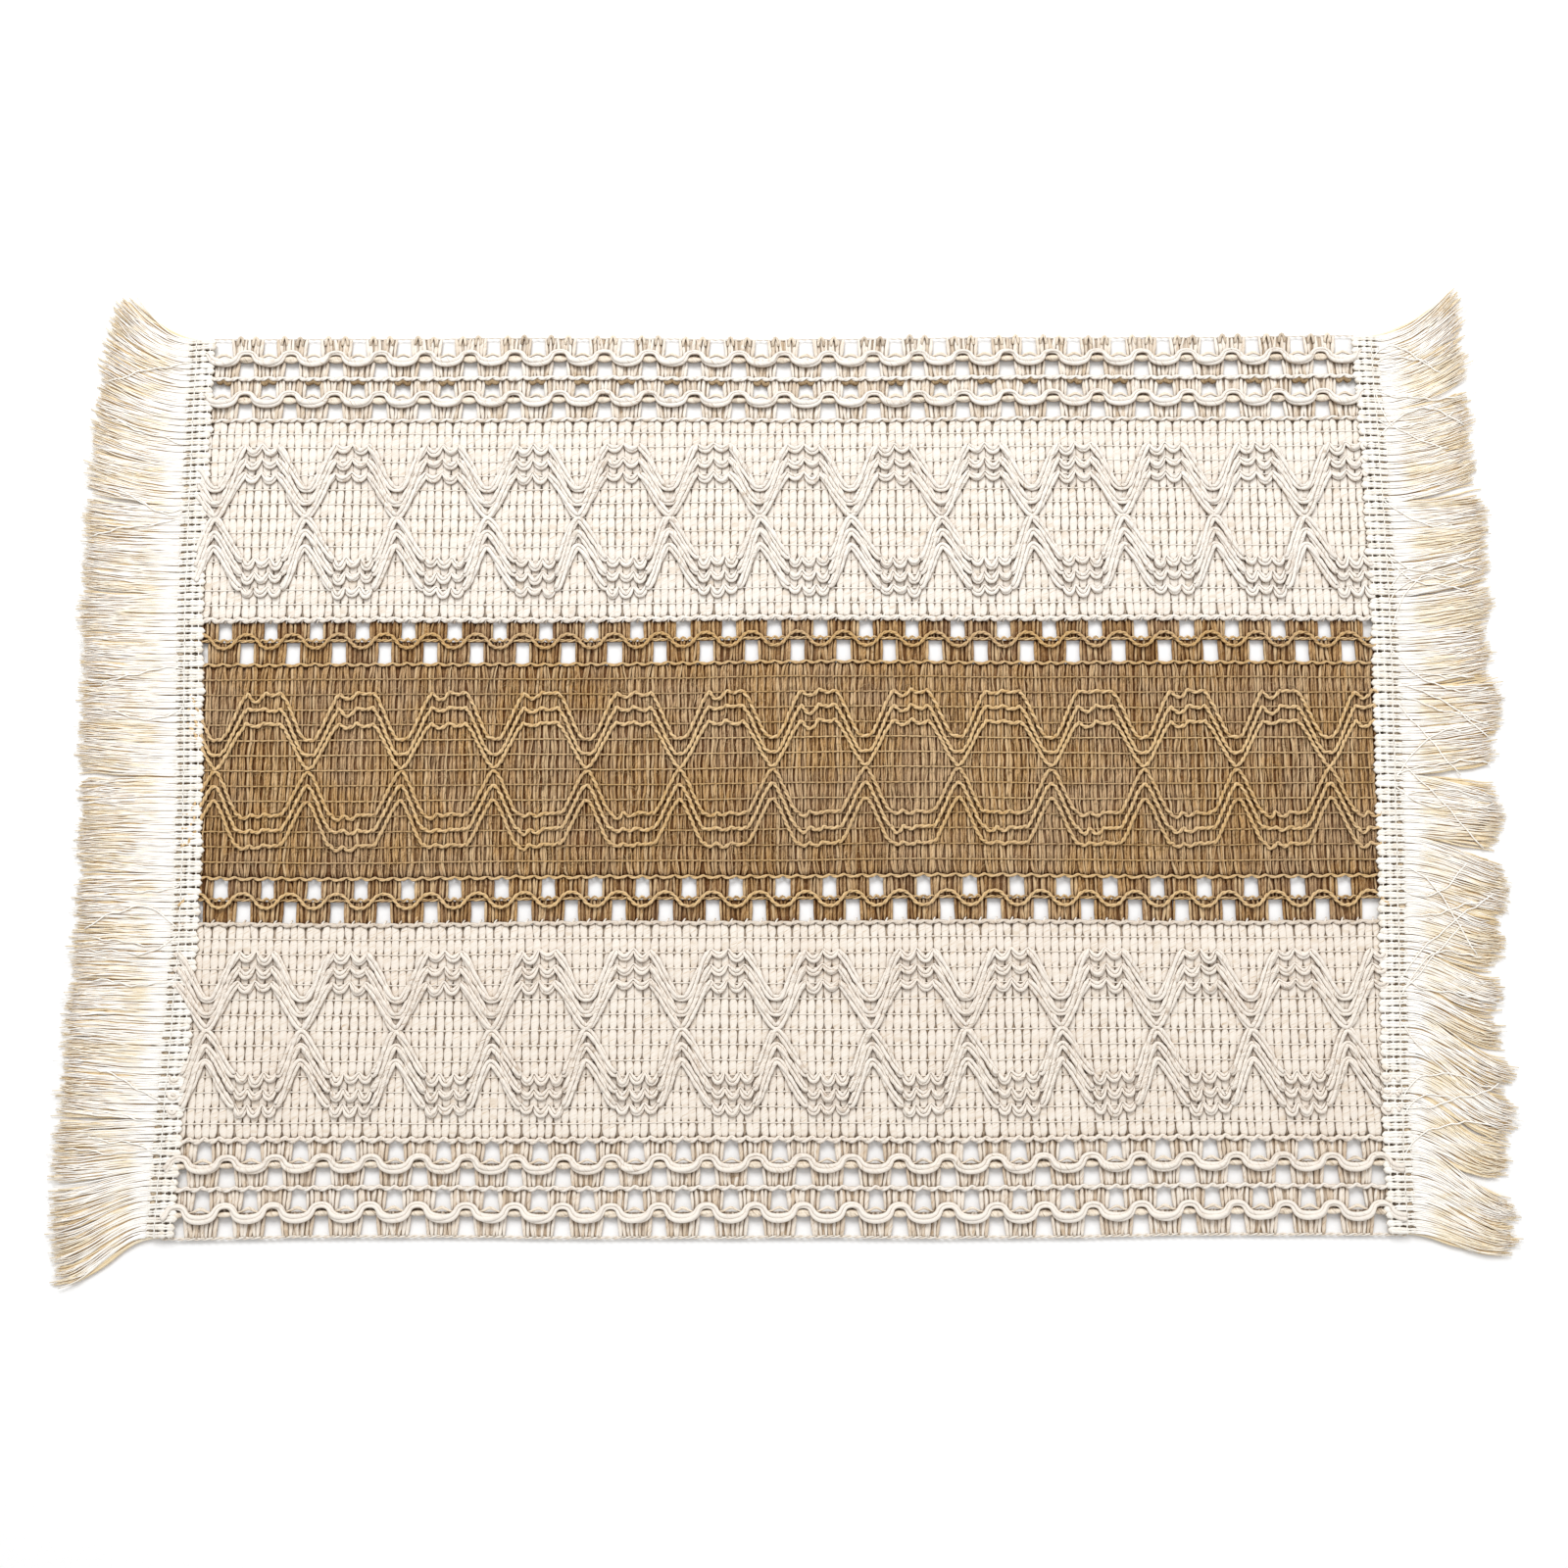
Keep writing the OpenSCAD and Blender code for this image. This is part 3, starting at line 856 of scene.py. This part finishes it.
UPPER = Strip(
    "upper", (SEAM_Y, COTTON_Y - COTTON_ROWS * ROW), CROSSING["upper"],
    EYELETS["jute top"], EYELETS["upper"] + EYELET / 2, 0.14,
)
JUTE_STRIP = Strip(
    "jute", (JUTE_ROWS * ROW - SEAM_Y, SEAM_Y - JUTE_ROWS * ROW), CROSSING["jute"],
    EYELETS["jute bottom"], EYELETS["jute top"] + EYELET / 2, 0.2,
)
LOWER = Strip(
    "lower", (COTTON_ROWS * ROW - COTTON_Y, -SEAM_Y), CROSSING["lower"],
    EYELETS["lower"], EYELETS["jute bottom"] + EYELET / 2, 0.14,
)

# The chains, counted from the top, that the pattern cords lie level on, and the gaps each drops by
TOP_CHAINS = (2, 3, 4)
LOW_CHAINS = (10, 11, 12)
DROP = 3
# How far short of its gaps a cord stops where it meets its twin, and how long its sharp points are
CLEAR = 0.3
POINT_L = 0.6

# The level stretches' scoops: from, to, and share of the full depth
COTTON_TOP_SCOOPS = ((-6.1, -0.4, 1.0), (-0.4, 5.2, 1.0))
COTTON_LOW_SCOOPS = ((-5.4, -1.2, 1.0), (-1.2, 3.6, 1.0), (3.6, 8.0, 1.0))
JUTE_TOP_SCOOPS = ((-5.9, 0.0, 1.2), (0.0, 5.6, 0.6))
JUTE_LOW_SCOOPS = ((-7.0, -3.0, 0.9), (-3.0, 1.4, 0.9), (1.4, 6.6, 0.3))

# Where lobes of a chain meet, from an eyelet's middle: for the chain above and the one below its row
CUSPS_ABOVE = (-4.6, 0.0, 4.6)
CUSPS_BELOW = (-7.5, -2.8, 2.8)


def pattern_cords(part, make, material, slot, top_scoops, low_scoops, depth, valley_l, uneven):
    """The six cords of one strip's hexagon band, as separate pieces. The top three drop, the low rise."""
    ys = chain_ys(part)[::-1]
    gap = ys[0] - ys[1]
    pieces = []
    groups = ("top", TOP_CHAINS, -1, top_scoops), ("low", LOW_CHAINS, 1, low_scoops)
    for group, chains, way, scoops in groups:
        for i, chain in enumerate(chains):
            node = f"{part.name}_{group}_cord_{i + 1}"
            rng = draws(node)
            meets_twin = i == (len(chains) - 1 if group == "top" else 0)
            drop = way * (DROP * gap - (CLEAR if meets_twin else 0.0))
            valley = POINT_L if meets_twin or group == "low" else valley_l
            line = hexagon_line(part.crossing, ys[chain], drop, scoops, depth, valley, uneven, rng)
            pieces.append(piece(f"{node}_yarn", make(line, rng), material, slot, node))
    return pieces


def cotton_chains(part, name, side, lace_middle):
    """A cotton strip's warp chains: fine ones on the band, plump ones by the eyelets, one at the edge."""
    cream = CREAM[part.name]
    rng = draws(name + "chains")
    rib_x = rib_places(part.crossing)[0]
    ground = Yarns()
    for y in chain_ys(part)[1:-1]:
        ground_chain(ground, y, rib_x, top_z=1.88, groove_z=1.82, radius=0.17, sway=0.06, rng=rng)
    chains = Yarns()
    for y, eyelet_x, cusps, depth, radius, sway in (
        (part.band[1], part.high_eyelet, CUSPS_BELOW, 0.7, 0.5, 0.25),
        (part.band[0], part.low_eyelet, CUSPS_ABOVE, 1.1, 0.6, 0.35),
        (lace_middle, EYELETS[part.name], CUSPS_ABOVE, 0.8, 0.52, 0.3),
    ):
        lobed_chain(chains, y, eyelet_x, cusps, depth, radius, sway, rng)
    edge = Yarns()
    radius = 0.14 if side > 0 else 0.28
    edge_y = side * (COTTON_Y + 0.2)
    ground_chain(edge, edge_y, rib_x, top_z=1.3, groove_z=0.8, radius=radius, sway=radius, rng=rng)
    return [
        piece(f"{name}_ground_threads", ground, cream["ground"], "cotton_chain"),
        piece(f"{name}_chain_threads", chains, cream["chains"], "cotton_chain", f"{name}_chains"),
        piece(f"{name}_edge_stitches", edge, cream["ground"], "cotton_chain", f"{name}_edge_chain"),
    ]


def cotton_strip(part, side):
    """A cotton strip: its band, four rows of openwork and their cords. side is 1 for the upper one."""
    place = part.name
    name = f"{place}_cotton"
    cream = CREAM[place]
    eyelet_x = EYELETS[place]
    openwork_low = part.band[1] if side > 0 else -COTTON_Y
    sheet = piece(f"{name}_ribs", cotton_ribs(part), cream["ribs"], "cotton_weft", f"{name}_weft")
    lace = Yarns()
    rng = draws(name + "lace")
    for row in reversed(range(COTTON_ROWS)):
        middle_x = eyelet_x + (row + 1) % 2 * EYELET / 2
        y = openwork_low + row * ROW
        row_bars(lace, y, middle_x, strand_w=0.62, per_bar=8, waist=0.14, rng=rng)
    lace_middle = side * (COTTON_Y - 2 * ROW)
    goes_with = [
        piece(f"{name}_lace_bars", lace, cream["bars"], "cotton_weft"),
        piece(f"{name}_back_ribs", back_ribs(part, 1.42), cream["ribs"], "cotton_weft"),
    ]
    if side > 0:
        # Turns along the top edge, in the tan cotton that paints shade on them
        edge_turns = Yarns()
        turning_loops(edge_turns, COTTON_Y + 0.8, 3.2, eyelet_x, apart=2.7, half_w=0.5, rng=rng)
        goes_with.append(piece(f"{name}_edge_turns", edge_turns, COTTON_INLAY_PAINTED_SHADE, "cotton_weft"))
        # Weft turns in the dark brown cotton under the middle chain: painted shadow at the eyelets' tops
        middle_turns_painted_shadow = Yarns()
        shifted_x = eyelet_x + EYELET / 2
        turning_loops(middle_turns_painted_shadow, lace_middle - 1.9, -1.5, shifted_x, apart=1.5, half_w=0.7, rng=rng)
        turning_loops(middle_turns_painted_shadow, lace_middle - 1.3, -1.3, shifted_x, apart=0.7, half_w=0.7, rng=rng)
        goes_with.append(piece(f"{name}_middle_turns", middle_turns_painted_shadow, COTTON_PAINTED_SHADOW, "cotton_weft"))
    goes_with += cotton_chains(part, name, side, lace_middle)
    arch_w = 0.9 if side > 0 else 1.1
    for where, offset, rise in (("outer", 1, 4.1), ("inner", 3, 3.9)):
        node = f"{place}_{where}_scallop_cord"
        y = side * (COTTON_Y - offset * ROW)
        wave = cotton_wave(eyelet_x, y, rise, arch_w, draws(node))
        goes_with.append(piece(f"{node}_yarn", wave, cream["cords"], "cotton_cord", node))
        # Its bead is in the tan cotton: painted shade under the arch
        inlay = cotton_inlay(eyelet_x, y + rise / 2 - 2.15, draws(node + "inlay"))
        goes_with.append(piece(f"{node}_inlay", inlay, COTTON_INLAY_PAINTED_SHADE, "cotton_cord"))
    goes_with += pattern_cords(
        part, lambda line, rng: cotton_cord(line, z=1.75, half_w=1.35, count=3, part=part, rng=rng),
        cream["cords"], "cotton_cord", COTTON_TOP_SCOOPS, COTTON_LOW_SCOOPS,
        depth=3.0, valley_l=2.6, uneven=0.25,
    )


def jute_strip():
    """The jute strip: its band, two rows of openwork at each edge, and their cords."""
    part = JUTE_STRIP
    strands = jute_strands(
        part, "jute strands", hands=(-1, 1), sway=0.5, half_w=0.56, level=0.6, rings=37, section=MEDIUM
    )
    fine = jute_strands(
        part, "fine jute", hands=(1,), sway=0.9, half_w=0.3, level=0.84, rings=31, section=COARSE
    )
    sheet = piece("jute_ribs", strands, JUTE, "jute_weft", "jute_weft")
    lace = Yarns()
    rng = draws("jute lace")
    upper, lower = EYELETS["jute top"], EYELETS["jute bottom"]
    for low_y, eyelet_x in (
        (SEAM_Y - ROW, upper),
        (SEAM_Y - 2 * ROW, upper + EYELET / 2),
        (ROW - SEAM_Y, lower),
        (-SEAM_Y, lower + EYELET / 2),
    ):
        row_bars(lace, low_y, eyelet_x, strand_w=0.5, per_bar=10, waist=0.04, rng=rng)
    goes_with = [
        piece("jute_fine_strands", fine, JUTE, "jute_weft"),
        piece("jute_hairs", jute_hairs(part, 1500), JUTE_THREAD, "jute_weft"),
        piece("jute_openwork_bars", lace, JUTE, "jute_weft"),
        piece("jute_back_ribs", back_ribs(part, 1.45), JUTE, "jute_weft"),
    ]
    chains = Yarns()
    rng = draws("jute chains")
    rib_x = rib_places(part.crossing)[0]
    for y in chain_ys(part)[1:-1]:
        ground_chain(chains, y, rib_x, top_z=1.95, groove_z=1.7, radius=0.16, sway=0.12, rng=rng)
    lobes_like = dict(depth=0.9, radius=0.34, sway=0.22, rng=rng)
    lobed_chain(chains, part.band[1], part.high_eyelet, CUSPS_BELOW, **lobes_like)
    lobed_chain(chains, part.band[0], part.low_eyelet, CUSPS_ABOVE, **lobes_like)
    goes_with.append(piece("jute_chain_threads", chains, JUTE_THREAD, "jute_chain", "jute_chains"))
    for where, y, trough in (("upper", SEAM_Y - ROW, upper), ("lower", ROW - SEAM_Y, lower)):
        node = f"jute_{where}_wave_cord"
        wave = jute_wave(trough, y, draws(node))
        goes_with.append(piece(f"{node}_yarn", wave, JUTE_THREAD, "jute_cord", node))
    goes_with += pattern_cords(
        part, lambda line, rng: jute_cord(line, z=1.95, radius=0.66, rng=rng),
        JUTE_THREAD, "jute_cord", JUTE_TOP_SCOOPS, JUTE_LOW_SCOOPS, depth=1.7, valley_l=3.2, uneven=0.6,
    )


# ---- seams


def join_seam(place, y):
    """Overcast stitches where two strips meet."""
    rng = draws(place + "seam")
    x = np.arange(-HALF_L + 2, HALF_L - 1, 5.0)
    t = np.linspace(0, 1, 7)
    xs = x[:, None] + (t - 0.5) * 1.4 + rng.normal(0, 0.15, (len(x), 1))
    ys = y + (t - 0.5) * 2.6
    z = 1.2 + 0.9 * sin(pi * t)
    yarns = Yarns().add(points(xs, ys, z), 0.3, 0.3, MEDIUM, rng.random(len(x)))
    node = f"{place}_join_seam"
    piece(f"{node}_thread", yarns, CREAM[place]["chains"], "cotton_chain", node)


# ---- fringe trims

# The header's loops along each end, and the width of one
COURSES = 130
COURSE = 2 * COTTON_Y / COURSES
# Where the loops bend back and where they end, along X, and their half sizes
LOOP_INNER = HALF_L + 0.9
LOOP_OUTER = HEADER_OUT + 5.0
LOOP_HALF_W, LOOP_HALF_H = 0.9, 0.85
# Each leg's share of a loop's points
LEG_SHARE = 0.46
# The lines of chain stitch along a header, from the weave's end, and how far past each the holes lie
HEADER_STITCHES = (1.5, 3.8, 6.1)
PAST_STITCH = 1.1
STITCH_LEVEL, STITCH_R = 2.55, 0.14


def header_loops(side):
    """The header's hairpin loops, one to a course, pinched by the stitches, over a back layer."""
    rng = draws(f"header{side}")
    y0 = -COTTON_Y + COURSE * (np.arange(COURSES) + 0.5)
    t = np.linspace(0, 1, 31)
    # Each loop runs in along one leg, turns in its bend from 0 to half a turn, and runs out again
    bend = np.clip((t - LEG_SHARE) / (1 - 2 * LEG_SHARE), 0, 1) * pi
    leg = np.clip(np.minimum(t, 1 - t) / LEG_SHARE, 0, 1)
    x = LOOP_OUTER - (LOOP_OUTER - LOOP_INNER) * leg - COURSE * 0.2 * sin(bend)
    away = rng.normal(0, 0.3, (COURSES, 1)) * (1 - leg) ** 2
    y = y0[:, None] - 0.17 * COURSE * cos(bend) + rng.normal(0, 0.08, (COURSES, 1)) + away
    xs = np.broadcast_to(x, y.shape) + rng.normal(0, 0.25, (COURSES, 1))
    partner = np.where(np.arange(COURSES) % 2 == 0, 1, -1)[:, None]
    y = y + 0.13 * COURSE * partner * exp(-(np.maximum(xs - LOOP_INNER, 0) / 1.8))
    taper = np.clip((LOOP_OUTER - xs) / 8.0, 0, 1)
    pinch = 0
    for stitch in HEADER_STITCHES:
        firm = rng.uniform(0.45, 1.0, (COURSES, 1))
        pinch = pinch + firm * exp(-(((xs - HALF_L - stitch - PAST_STITCH) / 0.6) ** 2))
    swell = 1 + wander(rng, xs, 6, 0.08)
    half_h = (LOOP_HALF_H - 0.1 * pinch) * (0.2 + 0.8 * taper) * swell
    half_w = (LOOP_HALF_W - 0.58 * pinch) * (0.4 + 0.6 * taper) * swell
    z = 1.1 + 1.0 * taper + wander(rng, xs, 9, 0.08)
    yarns = Yarns(is_trim=True)
    yarns.add(points(xs * side, y, z), half_w, half_h, FINE, 0.4 + 0.5 * rng.random(COURSES))
    # The back layer's tones are held low: painted shade under the loops
    between = -COTTON_Y + COURSE * np.arange(1, COURSES)
    x = np.linspace(HALF_L + 2.0, HEADER_OUT + 1, 5)
    back = points(x * side, between[:, None], 0.7)
    return yarns.add(back, 1.3, 0.6, MEDIUM, 0.1 + 0.2 * rng.random(len(between)))


def header_chains(side):
    """The lines of chain stitch along the header."""
    rng = draws(f"stitch{side}")
    y = np.arange(-COTTON_Y, COTTON_Y, COURSE / 6)
    beat = tau * (y + COTTON_Y) / COURSE
    yarns = Yarns(is_trim=True)
    for place in HEADER_STITCHES:
        drift = wander(rng, y[None], 30, 0.15)[0]
        for hand in (-1, 1):
            x = HALF_L + place + drift + hand * 0.2 * sin(beat / 2)
            path = points(x * side, y, STITCH_LEVEL)
            yarns.add(path[None], STITCH_R, STITCH_R, COARSE, rng.random(1))
    return yarns


def tousle(side, y):
    """How tousled the fringe is at y: the right end's is more so, and most in its lower half."""
    return 1 + max(side, 0) * (0.4 + 0.9 * np.clip((40 - y) / 90, 0, 1))


# How far the tips of the fringe lie above their roots, and how much longer the strands are, at
# places across the runner
LEAN_Y = range(-150, 151, 25)
LEFT_LEAN = [-15, -3, 1, 1.5, 1, 0.5, 0.5, 1, 2, 3.5, 6, 10, 18]
RIGHT_LEAN = [-9, -13, -14, -11, -7, -3, 0, 2.5, 4, 5, 6, 9, 17]
LEFT_GAIN = [0] * len(LEAN_Y)
RIGHT_GAIN = [1, 4, 4.5, 3, 1.5, 0.5] + [0] * 7
# How many strands each course has in each of the two layers
PER_COURSE = 9


def locks(rng, sizes, spread):
    """Splits the courses into locks: each course's lock middle, its bend and its gain in length."""
    middle, bend, longer = [], [], []
    while len(middle) < COURSES:
        size = rng.integers(*sizes)
        middle += [len(middle) + size / 2] * size
        bend += [rng.normal(0, spread)] * size
        longer += [rng.normal(0, 1.2)] * size
    y = -COTTON_Y + COURSE * np.array(middle[:COURSES])
    return y, np.array(bend[:COURSES]), np.array(longer[:COURSES])


def fringe_strands(side, start, drawn, pull, z0, z1, half_w, tones, rng):
    """One layer of loose ends, with tones as (lowest, spread), pulled together into the locks of drawn.

    They leave the header at z0 and settle at heights within z1.
    """
    course = np.repeat(np.arange(COURSES), PER_COURSE)
    n = len(course)
    middle, bend, longer = (values[course] for values in drawn)
    within = np.tile(np.linspace(-0.85, 0.85, PER_COURSE), COURSES)
    y0 = -COTTON_Y + COURSE * (course + 0.5) + within + rng.normal(0, 0.08, n)
    rough = tousle(side, y0)
    t = np.linspace(0, 1, 14)[None]
    lean = smooth_between(y0, LEAN_Y, RIGHT_LEAN if side > 0 else LEFT_LEAN)
    gain = smooth_between(y0, LEAN_Y, RIGHT_GAIN if side > 0 else LEFT_GAIN)
    length = TIP_X - start - 1.0 + gain + longer * (rough - 0.7) + rng.normal(0, 1.3, n)
    length -= 0.3 * np.abs(middle - y0) * (rough - 0.9)
    reach = np.sqrt(np.maximum(length**2 - (1.1 * lean) ** 2, 1.0))
    curve = np.where(y0[:, None] > 0, t**1.7, t * t * (3 - 2 * t))
    lock_curve = np.clip(t - 0.12, 0, 1) ** 1.4
    x = start + rng.uniform(-0.5, 0.5, (n, 1)) + reach[:, None] * t
    y = (
        y0[:, None]
        + lean[:, None] * curve
        + ((middle - y0) * pull * (rough - 0.6) + bend * (rough - 0.4))[:, None] * lock_curve
        + rng.normal(0, 0.9, (n, 1)) * t**2
        + wander(rng, x, 24, 0.35) * np.sqrt(t)
    )
    height = rng.uniform(0, 1, (n, 1))
    z = z0 * (1 - t) ** 2 + (z1[0] + (z1[1] - z1[0]) * height) * (1 - (1 - t) ** 2)
    z = np.maximum(z + wander(rng, x, 19, 0.12), half_w + 0.05)
    width = half_w * rng.uniform(0.8, 1.2, (n, 1)) * (1 - 0.65 * t**3)
    # Tousled strands get lower tones: painted shade between the locks
    tone = tones[0] + tones[1] * (rng.random(n) / rough**0.8)
    return Yarns(is_trim=True).add(points(x * side, y, z), width, width * 0.9, COARSE, tone)


def stray_strands(side, count, rng):
    """Long ends that wander across the fringe."""
    t = np.linspace(0, 1, 18)[None]
    y0 = rng.uniform(-0.95, 0.95, count) * COTTON_Y
    rough = tousle(side, y0)[:, None]
    arch = sin(pi * t)
    x = HEADER_OUT - 1 + rng.uniform(20, 32, (count, 1)) * t - rng.uniform(0, 6, (count, 1)) * arch
    y = y0[:, None] + rng.normal(0, 7, (count, 1)) * t**1.5 * rough
    y += rng.normal(0, 2.5, (count, 1)) * arch * rough + wander(rng, x, 16, 0.9) * np.sqrt(t)
    z = 2.0 + 0.35 * arch - 0.6 * t
    tone = 0.7 + 0.3 * rng.random(count)
    return Yarns(is_trim=True).add(points(x * side, y, z), 0.24, 0.2, MEDIUM, tone)


def fringe(side, place):
    """One end's trim: its header, the stitches along it, and its strands in two layers with strays."""
    header = f"{place}_header"
    piece(f"{header}_loops", header_loops(side), HEADER, "fringe_header", header)
    piece(f"{header}_chain_stitches", header_chains(side), STITCH, "cotton_chain", f"{header}_stitching")
    rng = draws(f"{place} fringe")
    drawn = locks(rng, (4, 10), 1.5)
    # The lower layer, with low tones and the golden yarn: painted shade under the upper layer
    under = fringe_strands(
        side, HEADER_OUT - 2.5, drawn, pull=0.16, z0=1.1, z1=(0.4, 0.9), half_w=0.42,
        tones=(0, 0.5), rng=rng,
    )
    piece(f"{place}_fringe_under", under, UNDER_STRAND_PAINTED_SHADE, "fringe_strand", f"{place}_fringe_strands")
    over = fringe_strands(
        side, HALF_L + 8.6, drawn, pull=0.32, z0=1.8, z1=(0.8, 1.5), half_w=0.26,
        tones=(0.35, 0.65), rng=rng,
    )
    piece(f"{place}_fringe_over", over, STRAND, "fringe_strand")
    strays = stray_strands(side, 34 if side > 0 else 16, rng)
    piece(f"{place}_fringe_strays", strays, STITCH, "fringe_strand")


# ---- camera, floor and light

# Where the camera stands and aims, in metres, and its lens and film in millimetres
CAMERA_AT, CAMERA_AIM = (0, -0.1375, 0.6924), (0, -0.0048, 0)
LENS, FILM = 50, 36
# Each lamp's place and size in metres, and its power in watts
LAMPS = {"key": ((-0.2, 0.9, 1.2), 0.7, 14.5), "fill": ((0.9, 0.2, 1.3), 1.4, 4.5)}
SKY = 0.6


def aimed(name, data, place, target):
    """A camera or a lamp that stands at place and is turned towards target."""
    ob = bpy.data.objects.new(name, data)
    bpy.context.scene.collection.objects.link(ob)
    ob.location = place
    ob.rotation_euler = (Vector(target) - ob.location).to_track_quat("-Z", "Y").to_euler()
    return ob


def pale_table():
    """The table top's near white, with a faint grain."""
    n = Nodes("pale_table")
    geometry = n.add("ShaderNodeNewGeometry")
    grain = n.ramp(n.noise(geometry.outputs["Position"], 900.0, 2.0), 0.3, 0.7)
    pale = n.mix(grain, rgb(249, 249, 249), rgb(251, 251, 251))
    n.feed(n.shader, {"Base Color": pale, "Roughness": 0.9})
    return n.mat


def stage():
    """The table, the camera, the lamps and the soft light all round."""
    scene = bpy.context.scene
    bpy.ops.mesh.primitive_plane_add(size=6)
    table = bpy.context.object
    table.name = "table"
    table.data.materials.append(pale_table())

    camera = aimed("camera", bpy.data.cameras.new("camera"), CAMERA_AT, CAMERA_AIM)
    camera.data.lens = LENS
    camera.data.sensor_width = FILM
    scene.camera = camera

    for name, (place, size, power) in LAMPS.items():
        lamp = aimed(name, bpy.data.lights.new(name, "AREA"), place, (0, 0, 0))
        lamp.data.size = size
        lamp.data.energy = power
    world = bpy.data.worlds.new("studio")
    world.use_nodes = True
    background = world.node_tree.nodes["Background"]
    background.inputs["Color"].default_value = (1, 1, 1, 1)
    background.inputs["Strength"].default_value = SKY
    scene.world = world
    scene.view_settings.view_transform = "Standard"


# ---- the whole runner

stage()

cotton_strip(UPPER, 1)
jute_strip()
cotton_strip(LOWER, -1)
join_seam("upper", SEAM_Y)
join_seam("lower", -SEAM_Y)
fringe(-1, "left")
fringe(1, "right")
